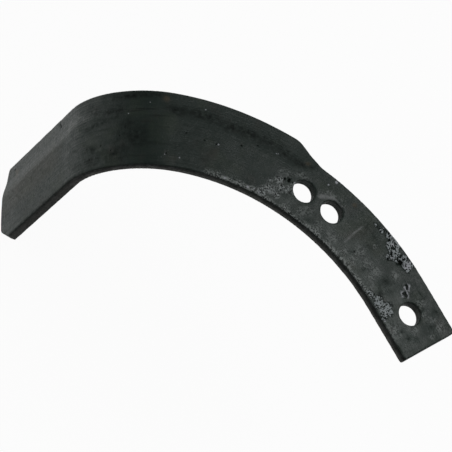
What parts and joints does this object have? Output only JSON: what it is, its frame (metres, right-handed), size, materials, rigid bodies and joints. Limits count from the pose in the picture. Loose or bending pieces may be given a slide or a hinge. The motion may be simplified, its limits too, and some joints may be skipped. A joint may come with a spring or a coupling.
{
  "type": "rotary tiller blade",
  "caption": "Bent, forged tiller blade: a flat curved shank drilled for bolts widens past a shoulder into a bevelled cutting part with a wing bent square.",
  "frame": {"origin": "midway between the end bolt hole and the middle bolt hole, in the middle of the shank's thickness", "axes": "+X from the end bolt hole to the middle bolt hole, +Y to the hollow side of the curve, +Z out of the mounting face, so that the wing points to -Z"},
  "size_m": [0.2181, 0.1171, 0.1383],
  "materials": {
    "blade_steel": "satin"
  },
  "bodies": {
    "root": {"tiller_blade": "blade_steel"}
  },
  "joints": []
}
